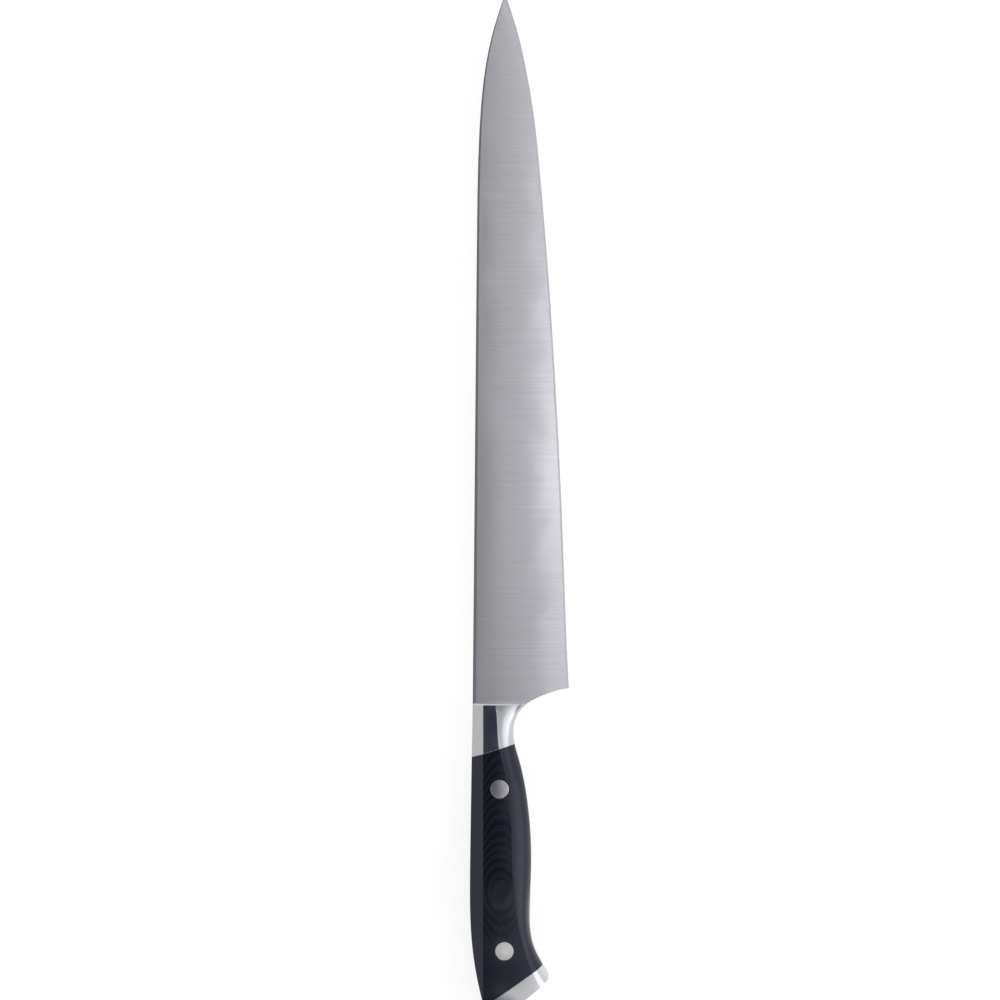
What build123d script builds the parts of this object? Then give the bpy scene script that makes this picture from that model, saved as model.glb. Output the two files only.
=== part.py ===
from build123d import *
import math
import os

# A carving knife with a full tang, lying on its left side. Sizes are in millimetres.
# X runs from the spine to the cutting edge, Y from the butt to the tip, Z through the thickness.
# Heights are measured across the knife from the spine line, reaches run ahead of the
# bolster's front and setbacks run back from it, leads run ahead of the butt's back corner, and
# halves are measured from the mid-plane.

# Blade
edge_length = 270.0
heel_reach = 5.8
heel_height = 37.4
tip_height = 12.7
spine_thick = 2.4
side_belly = 0.3
spine_ease_width = 1.2
spine_ease_depth = 0.3
bevel_width = 0.8
bevel_thick = 0.36
edge_flat = 0.05

# Side view of the handle
tang_thick = 2.5
handle_length = 124.0
neck_radius = 13.3
neck_sweep = 62.0
neck_setback = 10.8
neck_height = 15.8
swell_lead = 64.6
swell_height = 22.7
waist_lead = 42.8
waist_height = 22.15
beak_lead = 18.1
beak_height = 30.1
beak_round = 2.2
butt_height = 6.6
butt_round = 1.8
butt_bow = 0.5
back_swell = 1.0
back_swell_lead = 55.2

# Sides of the handle
crest_half = 9.0
crest_flat_depth = 0.05
crest_lead = 50.7
crest_height = 11.0
crest_radius = 75.0
bolster_half = 6.1
rear_half = 8.4
facet_height = 4.1
facet_slope = 35.0
belly_round = 7.5
belly_foot = 3.0
belly_crease = 5.0
shoulder_ease = 0.5

# Joints across the handle
bolster_back_length = 20.6
bolster_belly_length = 15.7
cap_back_thick = 7.25
cap_belly_thick = 5.65

# Rivets
rivet_head = 7.0
rivet_barrel = 5.0
rivet_shank = 3.2
rivet_seat = 3.4
rivet_end_gap = 0.4
rivet_fit = 0.05
front_rivet_setback = 32.8
front_rivet_height = 10.5
rear_rivet_lead = 28.9
rear_rivet_height = 12.3

# How far a cut or a blank runs past the finished piece
overrun = 4.0
side_lap = 0.5

# Along the edge from the heel: place, drop of the back, height of the edge, thickness
blade_shares = (
    (-0.12, -0.019, 1.057, 1.03),
    (0.0, 0.004, 1.0, 1.0),
    (0.13, 0.029, 0.938, 0.965),
    (0.26, 0.054, 0.886, 0.925),
    (0.39, 0.079, 0.817, 0.875),
    (0.52, 0.104, 0.734, 0.82),
    (0.64, 0.127, 0.640, 0.755),
    (0.745, 0.161, 0.542, 0.685),
    (0.83, 0.244, 0.441, 0.605),
    (0.895, 0.398, 0.317, 0.52),
    (0.94, 0.598, 0.206, 0.43),
    (0.97, 0.787, 0.106, 0.33),
    (0.988, 0.913, 0.040, 0.23),
    (1.0, 0.99, 0.006, 0.13),
)
# Belly, from the neck to the swell and from the waist past the beak: place, rise
fore_belly_shares = ((0.233, 0.33), (0.49, 0.717))
rear_belly_shares = ((0.502, 0.168), (0.753, 0.537), (1.0, 1.0), (1.25, 1.44), (2.0, 2.7))
# Back, from the bolster to its swell and from there past the butt: place, rise
fore_back_shares = ((0.3, 0.33), (0.55, 0.6))
rear_back_shares = ((0.393, 0.076), (0.732, 0.459), (1.0, 1.0), (1.2, 1.43))
# Sides, from the bolster to the crest: place, rise of the crown, width of the belly's round
fore_side_shares = (
    (-0.02, 0.0, 1.95),
    (0.05, 0.01, 1.15),
    (0.12, 0.06, 0.85),
    (0.21, 0.14, 0.83),
    (0.33, 0.26, 0.88),
    (0.47, 0.43, 0.92),
    (0.62, 0.62, 0.97),
    (0.8, 0.84, 1.0),
    (1.0, 1.0, 0.84),
)
# Sides, from the crest past the butt
rear_side_shares = ((0.28, 0.2, 0.56), (0.56, 0.01, 0.69), (0.84, 0.0, 0.8), (1.12, 0.0, 0.87))

front_reach = heel_reach + overrun
half_tang = tang_thick / 2
seat_half = half_tang + rivet_seat
front_rivet = (front_rivet_height, -front_rivet_setback)
rear_rivet = (rear_rivet_height, rear_rivet_lead - handle_length)


def between(start, end, share):
    return start + (end - start) * share


def along(start, end, shares):
    """Points of an outline from one corner to another, by shares of the way."""
    return [
        (between(start[0], end[0], rise), between(start[1], end[1], place))
        for place, rise in shares
    ]


# Side view of the handle blank. It holds the choil and the heel of the blade in front, and
# its belly and back run on past the butt.
neck = (neck_height, -neck_setback)
swell = (swell_height, swell_lead - handle_length)
waist = (waist_height, waist_lead - handle_length)
beak = (beak_height, beak_lead - handle_length)
butt = (butt_height, -handle_length)
back_crest = (-back_swell, back_swell_lead - handle_length)

fore_belly = [neck, *along(neck, swell, fore_belly_shares), swell, waist]
belly_points = fore_belly + along(waist, beak, rear_belly_shares)
fore_back = [(0, overrun), (0, 0), *along((0, 0), back_crest, fore_back_shares), back_crest]
back_points = fore_back + along(back_crest, butt, rear_back_shares)

with BuildSketch() as handle_blank:
    with BuildLine():
        neck_centre = (neck_height + neck_radius, -neck_setback)
        neck_arc = CenterArc(neck_centre, neck_radius, 180, -neck_sweep)
        heel_arc = TangentArc(neck_arc @ 1, (heel_height, heel_reach), tangent=neck_arc % 1)
        heel_run = Line(heel_arc @ 1, heel_arc @ 1 + (heel_arc % 1) * overrun)
        flare = Vector(*belly_points[-1]) - Vector(*beak)
        belly = Spline(*belly_points, tangents=((0, -1), flare))
        back = Spline(*back_points)
        run_end = heel_run @ 1
        Line(belly @ 1, back @ 1)
        Polyline(back @ 0, (0, front_reach), (run_end.X, front_reach), run_end)
    make_face()

with BuildSketch() as butt_waste:
    with BuildLine():
        SagittaArc(beak, butt, butt_bow)
        waste_belly = 2 * beak_height
        waste_end = -handle_length - beak_height
        Polyline(beak, (waste_belly, beak[1]), (waste_belly, waste_end), (-overrun, waste_end))
        Polyline((-overrun, waste_end), (-overrun, butt[1]), butt)
    make_face()

with BuildSketch() as handle_outline:
    add(handle_blank.sketch_local)
    add(butt_waste.sketch_local, mode=Mode.SUBTRACT)
    for corner, radius in ((beak, beak_round), (butt, butt_round)):
        fillet(handle_outline.vertices().sort_by_distance(corner)[0], radius)

# The knife lies on the crest of its handle, with the origin under the middle of its box
outline_box = handle_outline.sketch.bounding_box()
middle_x = (heel_height + outline_box.min.X) / 2
middle_y = (heel_reach + edge_length + outline_box.min.Y) / 2
datum = Plane(origin=(-middle_x, -middle_y, crest_half))


def across(reach):
    """Plane square to the knife at a reach, facing the butt."""
    return Plane(origin=datum.from_local_coords((0, reach, 0)), x_dir=(1, 0, 0), z_dir=(0, -1, 0))


def joint_plane(back_point, belly_point):
    """Plane of a slanted joint through two points of the side view, facing the butt."""
    start = datum.from_local_coords(Vector(back_point))
    run = datum.from_local_coords(Vector(belly_point)) - start
    return Plane(origin=start, x_dir=run, z_dir=run.cross(Vector(0, 0, 1)))


def blade_section(place, drop_share, edge_share, thick_share):
    """Wedge with an eased spine, slightly convex sides and a small edge bevel."""
    back_x = tip_height * drop_share
    edge_x = between(tip_height, heel_height, edge_share)
    side_z = spine_thick / 2 * thick_share
    back_z = side_z - spine_ease_depth * thick_share
    ease_x = back_x + spine_ease_width * thick_share
    bevel_x = edge_x - bevel_width * thick_share
    bevel_z = bevel_thick / 2 * thick_share
    edge_z = edge_flat / 2 * thick_share
    middle = (ease_x + bevel_x) / 2
    middle_z = (side_z + bevel_z) / 2 + side_belly * (edge_x - back_x) / heel_height
    with BuildSketch(across(heel_reach + edge_length * place)) as section:
        with BuildLine():
            Line((back_x, -back_z), (back_x, back_z))
            Line((back_x, back_z), (ease_x, side_z))
            ThreePointArc((ease_x, side_z), (middle, middle_z), (bevel_x, bevel_z))
            Line((bevel_x, bevel_z), (edge_x, edge_z))
            Line((edge_x, edge_z), (edge_x, -edge_z))
            Line((edge_x, -edge_z), (bevel_x, -bevel_z))
            ThreePointArc((bevel_x, -bevel_z), (middle, -middle_z), (ease_x, -side_z))
            Line((ease_x, -side_z), (back_x, -back_z))
        make_face()
    return section.sketch


def crown_height(half, height):
    """Height of the crown over the mid-plane: a parabola across the handle."""
    return half - (height - crest_height) ** 2 / (2 * crest_radius)


def side_section(setback, half, round_width):
    """Section of the handle's right side: a flat facet, the crown and the belly's round.

    Crown and round are parabolas that meet in a faint crease. The round comes down to its foot
    at the outline, and both ends run on past the outline.
    """
    chord = Line((-heel_height, -setback), (2 * heel_height, -setback))
    belly_x = (chord & handle_blank.sketch_local.face()).bounding_box().max.X
    out_x = -back_swell - overrun
    end_x = belly_x + side_lap
    start_x = belly_x - round_width
    facet_z = crown_height(half, facet_height)
    out_z = facet_z - (facet_height - out_x) * math.tan(math.radians(facet_slope))
    start_z = crown_height(half, start_x)
    crown_x = (facet_height + start_x) / 2
    crown_z = facet_z + (crest_height - facet_height) / crest_radius * (crown_x - facet_height)
    start_fall = (start_x - crest_height) / crest_radius + math.tan(math.radians(belly_crease))
    corner_z = start_z - start_fall * (end_x - start_x)
    left_share = math.sqrt(side_lap / (end_x - start_x))
    foot_share = 1 - left_share
    fore_z = start_z * left_share**2 + 2 * corner_z * left_share * foot_share
    end_z = (belly_foot - fore_z) / foot_share**2
    with BuildSketch(across(-setback)) as section:
        with BuildLine():
            Line((out_x, out_z), (facet_height, facet_z))
            Bezier((facet_height, facet_z), (crown_x, crown_z), (start_x, start_z))
            Bezier((start_x, start_z), (end_x, corner_z), (end_x, end_z))
            Polyline((end_x, end_z), (end_x, -2 * crest_half), (out_x, -2 * crest_half))
            Line((out_x, -2 * crest_half), (out_x, out_z))
        make_face()
    return section.sketch


# Blade and tang: tapered blade, cut to the choil, on a flat tang with the rivet holes
with BuildPart() as blade:
    loft([blade_section(*row) for row in blade_shares])
    with BuildSketch(datum.offset(-crest_half)):
        with Locations((0, heel_reach)):
            Rectangle(2 * heel_height, handle_length, align=(Align.MIN, Align.MAX))
        add(handle_outline.sketch_local, mode=Mode.SUBTRACT)
    extrude(amount=2 * crest_half, mode=Mode.SUBTRACT)
    with BuildSketch(datum.offset(-half_tang)):
        add(handle_outline.sketch_local)
        Rectangle(
            4 * heel_height, 2 * front_reach, align=(Align.CENTER, Align.MIN), mode=Mode.SUBTRACT
        )
    extrude(amount=tang_thick)
    with BuildSketch(datum.offset(-half_tang)):
        with Locations(front_rivet, rear_rivet):
            Circle(rivet_barrel / 2 + rivet_fit)
    extrude(amount=tang_thick, mode=Mode.SUBTRACT)

# Form that both sides of the handle are ground to, with a crest and a fuller front and rear
crest_setback = handle_length - crest_lead
crest_top = crest_half + crest_flat_depth
fore_side = [
    side_section(
        crest_setback * place, between(bolster_half, crest_top, rise), belly_round * width
    )
    for place, rise, width in fore_side_shares
]
rear_side = [
    side_section(
        between(crest_setback, handle_length, place),
        between(rear_half, crest_top, rise),
        belly_round * width,
    )
    for place, rise, width in rear_side_shares
]
with BuildPart() as side_form:
    loft(fore_side + rear_side)

# Right half of the handle in one block, with a small flat on the crest
with BuildPart() as right_half:
    with BuildSketch(datum.offset(half_tang)):
        add(handle_outline.sketch_local)
        Rectangle(
            4 * heel_height, 2 * front_reach, align=(Align.CENTER, Align.MIN), mode=Mode.SUBTRACT
        )
    extrude(amount=crest_half - half_tang)
    add(side_form.part, mode=Mode.INTERSECT)

bolster_joint = joint_plane((0, -bolster_back_length), (neck_height, -bolster_belly_length))
butt_run = Vector(beak) - Vector(butt)
butt_square = butt_run.normalized().rotate(Axis.Z, 90)
cap_joint = joint_plane(
    Vector(butt) + butt_square * cap_back_thick, Vector(beak) + butt_square * cap_belly_thick
)

with BuildPart() as bolster_right:
    add(right_half.part)
    split(bisect_by=bolster_joint, keep=Keep.BOTTOM)
    shoulder = bolster_right.faces().sort_by(Axis.Y)[-1]
    chamfer(shoulder.edges().sort_by(Axis.Z)[1:], shoulder_ease)

with BuildPart() as scale_right:
    add(right_half.part)
    split(bisect_by=bolster_joint, keep=Keep.TOP)
    split(bisect_by=cap_joint, keep=Keep.BOTTOM)
    with Locations(datum.offset(crest_half)):
        with Locations(front_rivet, rear_rivet):
            CounterBoreHole(
                radius=rivet_barrel / 2 + rivet_fit,
                counter_bore_radius=rivet_head / 2 + rivet_fit,
                counter_bore_depth=crest_half - seat_half,
                depth=2 * crest_half,
            )

with BuildPart() as butt_cap_right:
    add(right_half.part)
    split(bisect_by=cap_joint, keep=Keep.TOP)

with BuildPart() as bolster_left:
    mirror(bolster_right.part, about=datum)

with BuildPart() as scale_left:
    mirror(scale_right.part, about=datum)

with BuildPart() as butt_cap_left:
    mirror(butt_cap_right.part, about=datum)


def rivet_half(place, shaft, bore=0):
    """Half of a two-part rivet, ground flush. The bored half has its head on the left."""
    with BuildPart() as half:
        with BuildSketch(datum.offset(seat_half)):
            with Locations(place):
                Circle(rivet_head / 2)
        extrude(amount=crest_half)
        with BuildSketch(datum.offset(rivet_end_gap - seat_half)):
            with Locations(place):
                Circle(shaft / 2)
                if bore:
                    Circle(bore / 2, mode=Mode.SUBTRACT)
        extrude(amount=2 * seat_half - rivet_end_gap)
        add(side_form.part, mode=Mode.INTERSECT)
        if bore:
            mirror(about=datum, mode=Mode.REPLACE)
    return half


rivet_bore = rivet_shank + 2 * rivet_fit
pieces = {
    "blade": blade,
    "bolster_right": bolster_right,
    "bolster_left": bolster_left,
    "scale_right": scale_right,
    "scale_left": scale_left,
    "front_rivet_male": rivet_half(front_rivet, rivet_shank),
    "front_rivet_female": rivet_half(front_rivet, rivet_barrel, rivet_bore),
    "rear_rivet_male": rivet_half(rear_rivet, rivet_shank),
    "rear_rivet_female": rivet_half(rear_rivet, rivet_barrel, rivet_bore),
    "butt_cap_right": butt_cap_right,
    "butt_cap_left": butt_cap_left,
}

os.makedirs("parts", exist_ok=True)
for name, piece in pieces.items():
    piece.part.label = name
    export_step(piece.part, f"parts/{name}.step")
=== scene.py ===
import math

import bpy
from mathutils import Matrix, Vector


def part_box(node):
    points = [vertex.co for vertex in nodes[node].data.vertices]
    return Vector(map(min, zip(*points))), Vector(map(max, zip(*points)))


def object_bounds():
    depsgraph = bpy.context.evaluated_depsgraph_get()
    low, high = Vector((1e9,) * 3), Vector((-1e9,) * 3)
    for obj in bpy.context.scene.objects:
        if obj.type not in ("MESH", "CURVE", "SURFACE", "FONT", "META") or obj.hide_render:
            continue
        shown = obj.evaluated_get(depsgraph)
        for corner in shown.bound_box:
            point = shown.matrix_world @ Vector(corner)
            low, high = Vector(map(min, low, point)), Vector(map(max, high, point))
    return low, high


# A carving knife on a white floor, seen from straight above. Lengths are in metres, and the
# sizes inside a material are in millimetres. X runs from the spine to the edge, Y to the tip.

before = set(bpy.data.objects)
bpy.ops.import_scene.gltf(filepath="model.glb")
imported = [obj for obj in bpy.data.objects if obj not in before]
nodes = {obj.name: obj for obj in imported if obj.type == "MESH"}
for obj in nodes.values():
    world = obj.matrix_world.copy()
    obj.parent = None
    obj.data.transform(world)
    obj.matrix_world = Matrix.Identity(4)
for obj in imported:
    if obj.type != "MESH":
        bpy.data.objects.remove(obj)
cad_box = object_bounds()
middle_z = (cad_box[0].z + cad_box[1].z) / 2
mm = 0.001

# Camera, straight above the knife
camera_spot = (-0.00757, 0.0024)
camera_distance = 1.05
camera_field = 0.3885
camera_sensor = 36.0

# Floor, whose own glow is seen only by the camera and in reflections
floor_size = 12.0
floor_glow = 0.84
floor_tones = (0.29, 0.31)

# Laminate layers, in millimetres. The middle of the outermost one lies outer_layer_rise above
# the handle's crest. The bands set in between fade_start and fade_end ahead of the rear rivet.
layer_pitch = 0.185
outer_layer_rise = 0.02
layer_wander, layer_ragged = 0.05, 0.025
fade_start, fade_end = 1.0, 8.0
# Width in millimetres of the painted warm glint, a lighter ring round each rivet's head
glint_ring_width = 1.0

# Most values of a noise lie between these two
noise_low, noise_high = 0.3, 0.7

# Cosine of the angle between the eased and the plain normal, on an edge and on a flat face
on_edge, on_flat = 0.90, 0.995


class Tree:
    """Shorthand for the node tree of one material or world."""

    def __init__(self, node_tree):
        self.nodes = node_tree.nodes
        self.link = node_tree.links.new

    def add(self, kind, inputs=None, **settings):
        node = self.nodes.new("ShaderNode" + kind)
        for name, value in settings.items():
            setattr(node, name, value)
        for name, value in (inputs or {}).items():
            self.set(node.inputs[name], value)
        return node

    def set(self, socket, value):
        if isinstance(value, bpy.types.NodeSocket):
            self.link(value, socket)
        else:
            socket.default_value = value

    def math(self, operation, *values):
        node = self.add("Math", operation=operation)
        for socket, value in zip(node.inputs, values):
            self.set(socket, value)
        return node.outputs[0]

    def range(self, value, low, high, start=0.0, end=1.0, kind="LINEAR"):
        inputs = {"Value": value, "From Min": low, "From Max": high, "To Min": start, "To Max": end}
        return self.add("MapRange", inputs, interpolation_type=kind).outputs[0]

    def step(self, value, low, high, start=0.0, end=1.0):
        """A smooth step from start to end as the value goes from low to high."""
        return self.range(value, low, high, start, end, kind="SMOOTHSTEP")

    def spread(self, noise, start=0.0, end=1.0):
        """Noise, whose usual values are made to reach from start to end."""
        return self.range(noise, noise_low, noise_high, start, end)

    def place(self):
        """Place on the knife in millimetres."""
        spot = self.add("TexCoord").outputs["Object"]
        return self.add("Mapping", {"Vector": spot, "Scale": (1 / mm, 1 / mm, 1 / mm)}).outputs[0]

    def split(self, vector):
        return self.add("SeparateXYZ", {0: vector}).outputs

    def noise(self, place, scale, detail=2.0, roughness=0.5):
        """Noise, with a scale in waves per millimetre along each axis."""
        stretched = self.add("Mapping", {"Vector": place, "Scale": scale}).outputs[0]
        inputs = {"Vector": stretched, "Scale": 1.0, "Detail": detail, "Roughness": roughness}
        return self.add("TexNoise", inputs).outputs[0]

    def mix(self, share, first, second):
        """The first colour, with a share of the second. Each is a socket or three numbers."""
        node = self.add("Mix", data_type="RGBA")
        self.set(node.inputs[0], share)
        for index, colour in ((6, first), (7, second)):
            self.set(node.inputs[index], (*colour, 1) if isinstance(colour, tuple) else colour)
        return node.outputs[2]

    def bump(self, height, distance_mm, strength, normal):
        inputs = {"Height": height, "Distance": distance_mm * mm, "Strength": strength, "Normal": normal}
        return self.add("Bump", inputs).outputs[0]

    def eased(self, radius_mm):
        """Normal that rounds the edges, and how strongly a place is on such an edge."""
        soft = self.add("Bevel", {"Radius": radius_mm * mm}, samples=4).outputs[0]
        plain = self.add("NewGeometry").outputs["Normal"]
        alike = self.add("VectorMath", {0: soft, 1: plain}, operation="DOT_PRODUCT").outputs["Value"]
        return soft, self.step(alike, on_edge, on_flat, 1.0, 0.0)


def new_material(name):
    material = bpy.data.materials.new(name)
    material.use_nodes = True
    tree = Tree(material.node_tree)
    return material, tree, tree.nodes["Principled BSDF"]


def shade(tree, shader, **inputs):
    """Sets the shader's sockets, by their names with underscores."""
    for name, value in inputs.items():
        tree.set(shader.inputs[name.replace("_", " ")], value)


def satin_steel():
    """Blade steel, ground with fine lines from the spine to the edge, and polished at the tang."""
    material, tree, shader = new_material("blade_satin")
    place = tree.place()
    lines = tree.noise(place, (0.04, 5.0, 0.04), detail=3.0, roughness=0.7)
    streaks = tree.noise(place, (0.02, 0.5, 0.02))
    clouds = tree.noise(place, (0.03, 0.015, 0.03))
    soft, worn = tree.eased(0.12)
    dark, light = (0.530, 0.528, 0.565), (0.600, 0.598, 0.635)
    rubbed = (0.66, 0.67, 0.69)
    colour = tree.mix(tree.spread(lines), dark, light)
    colour = tree.mix(tree.math("MULTIPLY", worn, 0.5), colour, rubbed)
    ground = tree.math("ADD", tree.spread(streaks, 0.215, 0.225), tree.spread(clouds, 0.0, 0.006))
    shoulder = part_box("bolster_right")[1].y / mm
    blend, polish = 0.3, 0.09
    tang = tree.step(tree.split(place)[1], shoulder - blend, shoulder + blend, 1.0, 0.0)
    rough = tree.math("SUBTRACT", ground, tree.math("MULTIPLY", tang, polish))
    along = tree.add("CombineXYZ", {"Y": 1.0}).outputs[0]
    shade(tree, shader, Base_Color=colour, Metallic=1.0, Roughness=rough, Anisotropic=0.95)
    shade(tree, shader, Tangent=along, Normal=tree.bump(lines, 0.0015, 0.4, soft))
    return material


def polished_steel(name, base, finest, coarsest):
    """Polished steel with faint buffing lines, hand marks and brighter, rubbed edges."""
    material, tree, shader = new_material(name)
    place = tree.place()
    smear = tree.noise(place, (0.12, 0.08, 0.12), detail=4.0, roughness=0.6)
    lines = tree.noise(place, (6.0, 0.15, 6.0))
    wave = tree.noise(place, (0.1, 0.07, 0.1), detail=0.0)
    soft, worn = tree.eased(0.2)
    smeared = tuple(0.96 * part for part in base)
    rubbed = (0.74, 0.75, 0.76)
    colour = tree.mix(smear, smeared, base)
    colour = tree.mix(tree.math("MULTIPLY", worn, 0.4), colour, rubbed)
    rough = tree.math("ADD", tree.spread(smear, finest, coarsest), tree.math("MULTIPLY", worn, 0.05))
    buffed = tree.bump(lines, 0.0003, 0.2, soft)
    shade(tree, shader, Base_Color=colour, Metallic=1.0, Roughness=rough)
    shade(tree, shader, Normal=tree.bump(wave, 0.02, 0.5, buffed))
    return material


def by_rivet(tree, place, low, high):
    """How strongly a place is on the painted warm glint round the head of the rivet in the box low to
    high.
    """
    middle = (low + high) / 2 / mm
    centre = (middle.x, middle.y, 0)
    across = tree.add("VectorMath", {0: place, 1: centre}, operation="SUBTRACT").outputs[0]
    flat = tree.add("VectorMath", {0: across, 1: (1, 1, 0)}, operation="MULTIPLY").outputs[0]
    distance = tree.add("VectorMath", {0: flat}, operation="LENGTH").outputs["Value"]
    head = (high.x - low.x) / 2 / mm
    return tree.step(distance, head, head + glint_ring_width, 1.0, 0.0)


def layer_band(tree, place):
    """How near a place is to the middle of a dark layer, from 0 to 1."""
    depth = tree.math("ABSOLUTE", tree.math("SUBTRACT", tree.split(place)[2], middle_z / mm))
    below = tree.math("SUBTRACT", middle_z / mm + outer_layer_rise, depth)
    broad = tree.noise(place, (0.07, 0.05, 0.1), detail=1.0)
    small = tree.noise(place, (0.35, 0.5, 0.5), detail=3.0)
    wander = tree.range(broad, 0.0, 1.0, -layer_wander, layer_wander)
    ragged = tree.range(small, 0.0, 1.0, -layer_ragged, layer_ragged)
    swayed = tree.math("ADD", below, tree.math("ADD", wander, ragged))
    turn = tree.math("MULTIPLY", swayed, 2 * math.pi / layer_pitch)
    return tree.range(tree.math("COSINE", turn), -1.0, 1.0)


def laminate():
    """Resin-bonded fibre layers, which the handle's form cuts into contour bands."""
    material, tree, shader = new_material("handle_laminate")
    place = tree.place()
    band = layer_band(tree, place)
    fibre = tree.noise(place, (1.5, 5.0, 5.0), detail=4.0, roughness=0.7)
    soft, worn = tree.eased(0.25)
    low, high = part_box("rear_rivet_male")
    rivet = (low.y + high.y) / 2 / mm
    banded = tree.step(tree.split(place)[1], rivet + fade_start, rivet + fade_end)
    dark, light = (0.0018, 0.0027, 0.0062), (0.0100, 0.0127, 0.0200)
    # The last of these is a painted warm glint, lighter than the laminate, round each rivet's head
    thread, rubbed, rivet_glint = (0.014, 0.017, 0.026), (0.030, 0.034, 0.042), (0.030, 0.022, 0.020)
    colour = tree.mix(tree.math("MULTIPLY", tree.step(band, 0.25, 0.85), banded), light, dark)
    colour = tree.mix(tree.range(fibre, 0.35, 0.8, 0.0, 0.2), colour, thread)
    colour = tree.mix(tree.math("MULTIPLY", worn, 0.3), colour, rubbed)
    # Painted warm glint round the rivet heads
    colour = tree.mix(tree.math("MULTIPLY", by_rivet(tree, place, low, high), 0.8), colour, rivet_glint)
    rough = tree.math("ADD", tree.range(band, 0.0, 1.0, 0.13, 0.15), tree.spread(fibre, 0.0, 0.04))
    relief = tree.math("ADD", tree.math("MULTIPLY", band, 0.3), fibre)
    shade(tree, shader, Base_Color=colour, Roughness=rough, IOR=1.54)
    shade(tree, shader, Specular_Tint=(0.75, 0.81, 1.0, 1))
    shade(tree, shader, Normal=tree.bump(relief, 0.006, 0.5, soft))
    return material


def assign(material, *names):
    for name in names:
        for slot in nodes[name].material_slots:
            slot.material = material


def handle_pair(stem):
    return [f"{stem}_{side}" for side in ("right", "left")]


def rivet_pair(stem):
    return [f"{stem}_rivet_{half}" for half in ("male", "female")]


def dress_knife():
    bolster, cap, rivet = (0.57, 0.58, 0.60), (0.67, 0.675, 0.69), (0.77, 0.76, 0.745)
    bright, buffed = (0.09, 0.15), (0.13, 0.19)
    assign(satin_steel(), "blade")
    assign(polished_steel("polished_bolster", bolster, *bright), *handle_pair("bolster"))
    assign(polished_steel("polished_cap", cap, *buffed), *handle_pair("butt_cap"))
    rivets = rivet_pair("front") + rivet_pair("rear")
    assign(polished_steel("polished_rivets", rivet, *buffed), *rivets)
    assign(laminate(), *handle_pair("scale"))


# The room's light by how far a direction points to the edge, from -1 to 1
room_levels = (
    (-1.0, 0.86), (-0.7, 0.5), (-0.46, 0.2), (-0.20, 0.30), (-0.04, 0.42), (0.04, 0.84), (0.33, 0.75),
    (0.39, 0.92), (0.46, 1.2), (0.62, 1.5), (0.76, 1.55), (0.84, 1.45), (0.92, 1.0), (1.0, 1.0),
)

# Cards in the room. Each rises and falls over two spans towards the edge and two towards the
# tip, then has its colour. A span beyond -1 or 1 leaves the card without an end on that side.
no_start, no_end = (-2.1, -2.0), (2.0, 2.1)
cards = {
    "side_end": ((0.5, 0.72), no_end, (0.06, 0.14), no_end, (0.90, 0.90, 0.92)),
    "front_flag": (no_start, no_end, (0.40, 0.62), no_end, (0.40, 0.40, 0.41)),
    "rear_flag": (no_start, no_end, no_start, (-0.60, -0.40), (0.40, 0.40, 0.41)),
    "rear_card": ((-0.08, -0.05), (0.03, 0.07), (-0.22, -0.20), (-0.15, -0.13), (1.0, 0.985, 0.97)),
    "rear_hood": ((-0.30, -0.16), (0.06, 0.20), (-0.42, -0.34), (-0.250, -0.222), (0.05, 0.06, 0.085)),
}

# Dark hood over the handle. Its front end draws back by hood_lean times the way to the edge,
# which counts up to lean_end.
hood_across = (-0.30, -0.16), (0.06, 0.36)
hood_along = (-0.165, -0.112), (0.0, 0.06)
hood_lean, lean_end = 0.45, 0.1
hood_colour = (0.033, 0.042, 0.064)

# Over this span of height the room turns from white, below, to its own light
horizon = (0.19, 0.30)
white = (1, 1, 1)

# Soft boxes: place, width, height and level
softboxes = {
    "side_softbox": ((1.43, -0.405, 0.70), 0.69, 0.9, 0.3),
    "edge_softbox": ((0.127, 0.043, 0.70), 0.080, 0.21, 1.6),
    "blade_softbox": ((0.048, 0.010, 0.70), 0.095, 0.24, 0.3),
}


def window(tree, value, rise, fall):
    return tree.math("MULTIPLY", tree.step(value, *rise), tree.step(value, *fall, 1.0, 0.0))


def room_light(tree, to_edge):
    room = tree.add("ValToRGB", {"Fac": tree.range(to_edge, -1.0, 1.0)})
    for _ in room_levels[2:]:
        room.color_ramp.elements.new(0.5)
    for element, (spot, level) in zip(room.color_ramp.elements, room_levels):
        element.position = (spot + 1) / 2
        element.color = (level, level, level, 1)
    return room.outputs[0]


def hood_share(tree, to_edge, to_tip):
    """How much of the hood lies in a direction, from 0 to 1."""
    rise, fall = hood_along
    lean = tree.math("MULTIPLY", tree.math("MINIMUM", to_edge, lean_end), hood_lean)
    front_end = tree.step(tree.math("ADD", to_tip, lean), *fall, 1.0, 0.0)
    along = tree.math("MULTIPLY", tree.step(to_tip, *rise), front_end)
    return tree.math("MULTIPLY", window(tree, to_edge, *hood_across), along)


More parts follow.
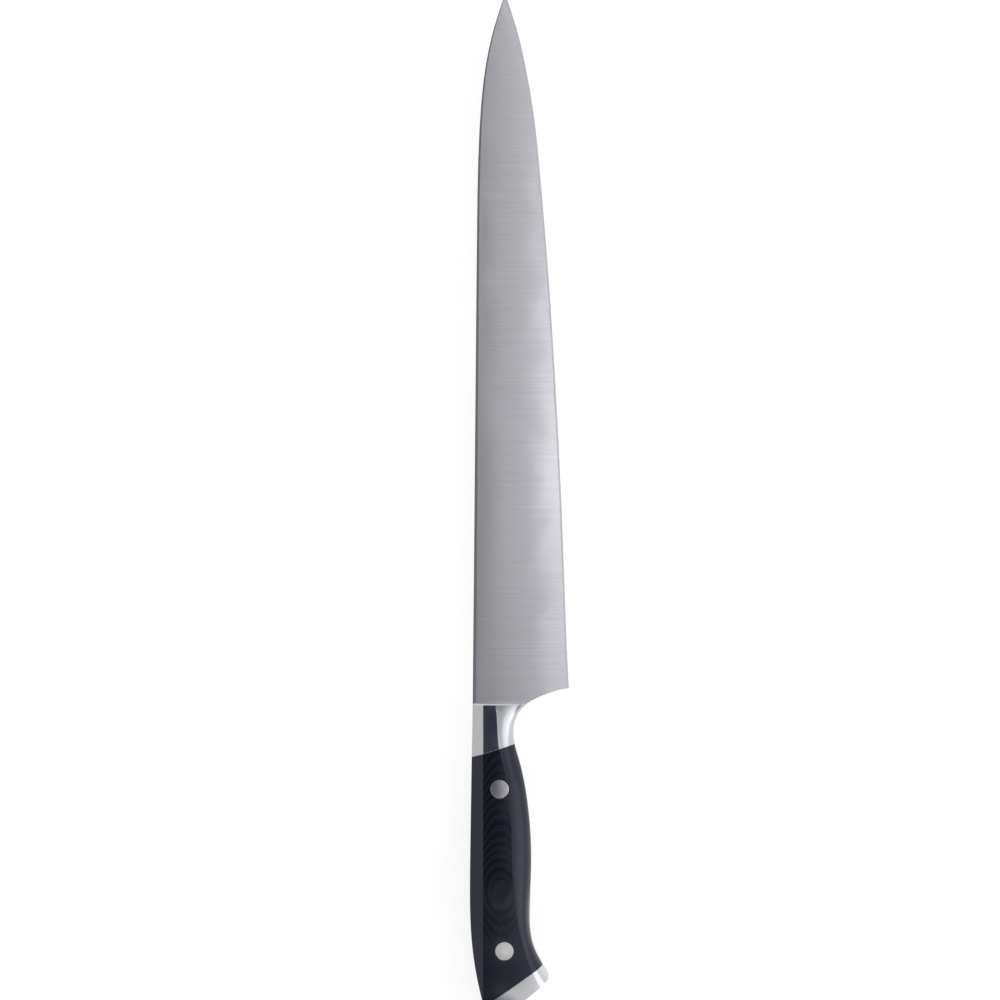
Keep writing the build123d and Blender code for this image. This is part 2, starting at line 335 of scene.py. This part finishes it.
def light_studio():
    """World of one large soft room, white at the horizon, with cards and a hood over the knife."""
    world = bpy.data.worlds.new("studio")
    bpy.context.scene.world = world
    world.use_nodes = True
    tree = Tree(world.node_tree)
    to_edge, to_tip, up = tree.split(tree.add("TexCoord").outputs["Generated"])
    light = room_light(tree, to_edge)
    for rise_x, fall_x, rise_y, fall_y, colour in cards.values():
        across = window(tree, to_edge, rise_x, fall_x)
        along = window(tree, to_tip, rise_y, fall_y)
        light = tree.mix(tree.math("MULTIPLY", across, along), light, colour)
    light = tree.mix(hood_share(tree, to_edge, to_tip), light, hood_colour)
    light = tree.mix(tree.step(up, *horizon, 1.0, 0.0), light, white)
    tree.link(light, tree.nodes["Background"].inputs["Color"])


def softbox(name, spot, width, height, level):
    """An area lamp as bright as level, which faces down or, beside the knife, looks at it."""
    lamp = bpy.data.lights.new(name, "AREA")
    lamp.shape = "RECTANGLE"
    lamp.size, lamp.size_y = width, height
    lamp.energy = level * math.pi * width * height
    box = bpy.data.objects.new(name, lamp)
    box.location = spot
    if math.hypot(spot.x, spot.y) > spot.z:
        box.rotation_euler = (-spot).to_track_quat("-Z", "Y").to_euler()
    box.visible_camera = False
    bpy.context.scene.collection.objects.link(box)


def lay_floor():
    """White floor, which keeps a faint shadow of the knife."""
    bpy.ops.mesh.primitive_plane_add(size=floor_size)
    floor = bpy.context.object
    floor.name = "floor"
    material, tree, shader = new_material("floor_white")
    grain = tree.noise(tree.place(), (0.05, 0.05, 0.05), detail=3.0)
    path = tree.add("LightPath").outputs
    seen = tree.math("MAXIMUM", path["Is Camera Ray"], path["Is Glossy Ray"])
    seen = tree.math("MAXIMUM", seen, path["Is Transmission Ray"])
    tone = tree.mix(grain, *((level, level, level) for level in floor_tones))
    glow = tree.math("MULTIPLY", seen, floor_glow)
    shade(tree, shader, Base_Color=tone, Roughness=0.9)
    shade(tree, shader, Emission_Color=(*white, 1), Emission_Strength=glow)
    floor.data.materials.append(material)


def place_camera():
    """Camera straight above the knife, with the tip up in the picture."""
    data = bpy.data.cameras.new("camera")
    data.sensor_width = camera_sensor
    data.lens = camera_sensor * camera_distance / camera_field
    camera = bpy.data.objects.new("camera", data)
    camera.location = (*camera_spot, middle_z + camera_distance)
    bpy.context.scene.collection.objects.link(camera)
    bpy.context.scene.camera = camera


dress_knife()
light_studio()
for name, (spot, width, height, level) in softboxes.items():
    softbox(name, Vector(spot), width, height, level)
lay_floor()
place_camera()
bpy.context.scene.view_settings.view_transform = "Standard"
